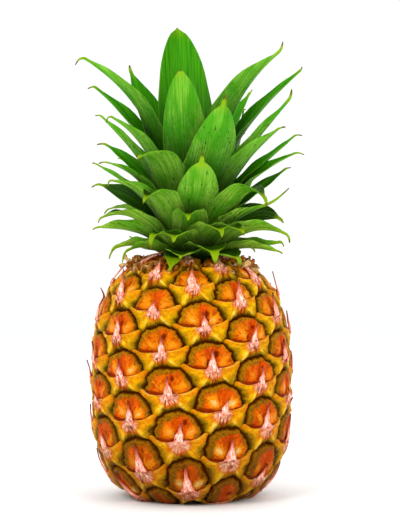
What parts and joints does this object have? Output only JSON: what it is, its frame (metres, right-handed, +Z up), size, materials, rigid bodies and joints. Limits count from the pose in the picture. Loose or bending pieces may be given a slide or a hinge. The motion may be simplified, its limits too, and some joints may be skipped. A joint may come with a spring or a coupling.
{
  "type": "pineapple",
  "caption": "Whole ripe pineapple standing upright on its trimmed base: a barrel of spirally set eyes under a crown of pointed, channelled leaves.",
  "frame": {"origin": "middle of the flat cut base, on the surface the fruit stands on", "axes": "+Z up along the fruit's axis to the crown, front towards -Y"},
  "size_m": [0.1316, 0.1299, 0.2885],
  "materials": {
    "rind": "firm waxy rind, orange domes under yellow bracts, dark seams",
    "cut_stalk": "dry fibrous cut end",
    "dry_bract": "withered papery bract, matte",
    "leaf": "stiff waxy leaf with a pale scurfy underside"
  },
  "bodies": {
    "root": {"fruit": "rind", "cut_stalk": "cut_stalk", "collar_bracts": "dry_bract", "crown": "leaf"}
  },
  "joints": []
}
